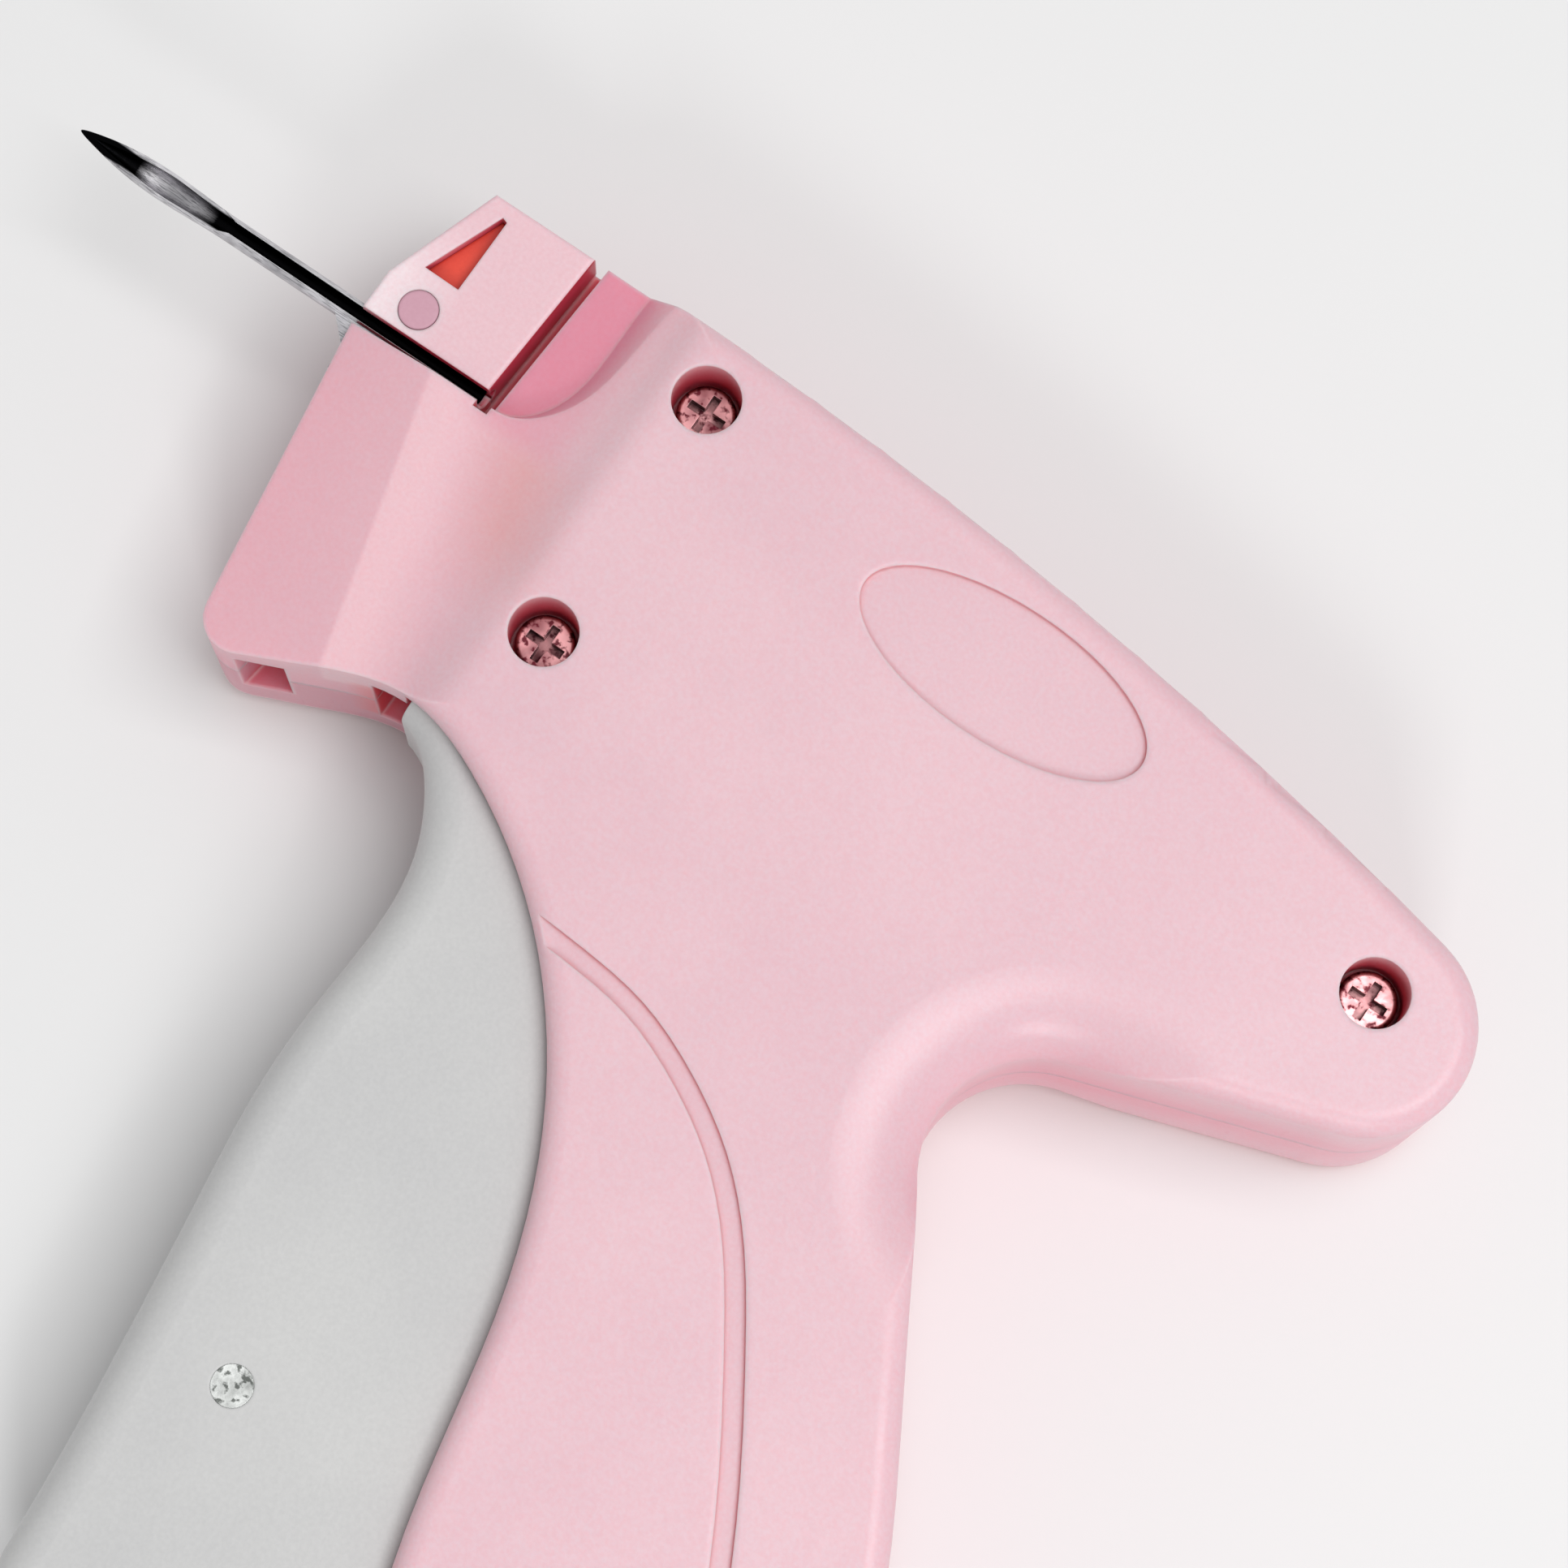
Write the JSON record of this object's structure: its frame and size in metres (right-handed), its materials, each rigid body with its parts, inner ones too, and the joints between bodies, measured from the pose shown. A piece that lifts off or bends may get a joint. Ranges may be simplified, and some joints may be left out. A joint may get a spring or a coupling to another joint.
{
  "type": "garment tag attacher",
  "caption": "Hand-held garment tag attacher with a slotted needle, a squeeze trigger and a lever-driven ejector slide inside a two-part moulded housing.",
  "frame": {"origin": "under the middle of the bounding box, on the flat right side that the tool lies on", "axes": "+X from the needle tip to the tail, +Y from the handle up to the top of the nose, +Z from the right side up to the left side"},
  "size_m": [0.148, 0.1248, 0.024],
  "materials": {
    "housing_pink": "fine satin moulding texture",
    "block_pink": "smooth, paler than the housing",
    "insert_red": "smooth",
    "trigger_grey": "fine satin moulding texture",
    "lock_pink": "smooth",
    "needle_steel": "ground along its length",
    "pin_steel": "cut ends, satin",
    "screw_steel": "zinc plated",
    "spring_steel": "drawn wire",
    "lever_white": "acetal, smooth",
    "slide_white": "acetal, smooth",
    "feed_black": "acetal, smooth",
    "bumper_rubber": "soft, matt"
  },
  "bodies": {
    "housing": {"left_shell": "housing_pink", "right_shell": "housing_pink", "nose_block": "block_pink", "window_insert": "insert_red", "needle": "needle_steel", "needle_base": "needle_steel", "knife": "pin_steel", "trigger_hinge_pin": "pin_steel", "lever_pivot_pin": "pin_steel", "return_spring": "spring_steel", "slide_bumper": "bumper_rubber", "feed_wheel_axle": "pin_steel", "pawl_pin": "pin_steel", "housing_screws": "screw_steel"},
    "trigger": {"trigger": "trigger_grey", "trigger_link_pin": "pin_steel"},
    "link": {"trigger_link": "lever_white"},
    "lever": {"swing_lever": "lever_white", "link_lever_pin": "pin_steel"},
    "slide": {"ejector_slide": "slide_white", "slide_drive_pin": "pin_steel", "push_rod": "pin_steel"},
    "feed_wheel": {"feed_wheel": "feed_black"},
    "pawl": {"feed_pawl": "feed_black"},
    "needle_lock": {"needle_lock_lever": "lock_pink"}
  },
  "joints": [
    {"name": "trigger_squeeze", "type": "hinge", "parent": "housing", "child": "trigger", "pos_m": [-0.01474, 0.0228, 0.012], "axis": [0, 0, 1], "range_deg": [0, 18], "stiffness_Nm_per_rad": 1.5, "springref_deg": -5.73},
    {"name": "link_swing", "type": "hinge", "parent": "trigger", "child": "link", "pos_m": [0.00256, -0.0361, 0.012], "axis": [0, 0, 1], "range_deg": [-27.5, 0]},
    {"name": "lever_swing", "type": "hinge", "parent": "housing", "child": "lever", "pos_m": [0.03876, -0.0094, 0.012], "axis": [0, 0, 1], "range_deg": [0, 31.5], "deforming": ["return_spring"]},
    {"name": "slide_stroke", "type": "slide", "parent": "housing", "child": "slide", "axis": [-1, 0, 0], "range_m": [0, 0.0312]},
    {"name": "feed_wheel_turn", "type": "hinge", "parent": "housing", "child": "feed_wheel", "pos_m": [-0.02384, 0.0386, 0.012], "axis": [0, 0, 1], "continuous": true},
    {"name": "pawl_swing", "type": "hinge", "parent": "housing", "child": "pawl", "pos_m": [-0.01594, 0.0412, 0.012], "axis": [0, 0, 1], "range_deg": [0, 8]},
    {"name": "needle_lock_turn", "type": "hinge", "parent": "housing", "child": "needle_lock", "pos_m": [-0.03904, 0.0497, 0.012], "axis": [0, 0, -1], "range_deg": [0, 90]}
  ],
  "couplings": [
    {"joint": "link_swing", "follows": "trigger_squeeze", "ratio": -1.4775},
    {"joint": "lever_swing", "follows": "trigger_squeeze", "ratio": 1.7222},
    {"joint": "slide_stroke", "follows": "trigger_squeeze", "m_per_rad": 0.09929},
    {"joint": "pawl_swing", "follows": "trigger_squeeze", "ratio": 0.4444}
  ]
}
